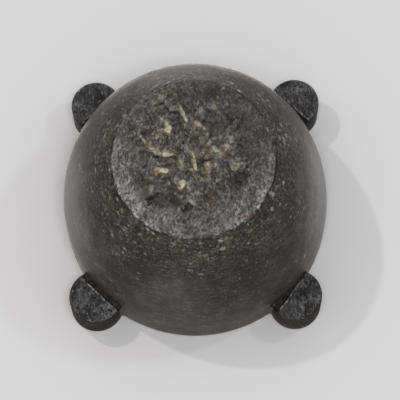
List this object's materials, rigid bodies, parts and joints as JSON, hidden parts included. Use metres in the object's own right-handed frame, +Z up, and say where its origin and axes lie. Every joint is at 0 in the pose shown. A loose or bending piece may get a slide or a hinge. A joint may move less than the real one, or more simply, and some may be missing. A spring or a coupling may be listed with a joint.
{
  "type": "stone mortar",
  "caption": "Round carved stone mortar (molcajete) with a deep hollow, half-round lugs at the rim and a pecked flat foot.",
  "frame": {"origin": "centre of the foot's standing plane, at the bottom of the mortar's box", "axes": "+Z up the mortar's axis towards the rim; the lugs lie on the diagonals of X and Y"},
  "size_m": [0.203, 0.203, 0.14],
  "materials": {
    "bowl_stone": "smoothed dark stone with a dull sheen",
    "foot_stone": "pecked rough stone with pale chips",
    "lug_stone": "dressed dark stone, slightly rough"
  },
  "bodies": {
    "root": {"bowl": "bowl_stone", "foot": "foot_stone", "lug_back_right": "lug_stone", "lug_back_left": "lug_stone", "lug_front_left": "lug_stone", "lug_front_right": "lug_stone"}
  },
  "joints": []
}
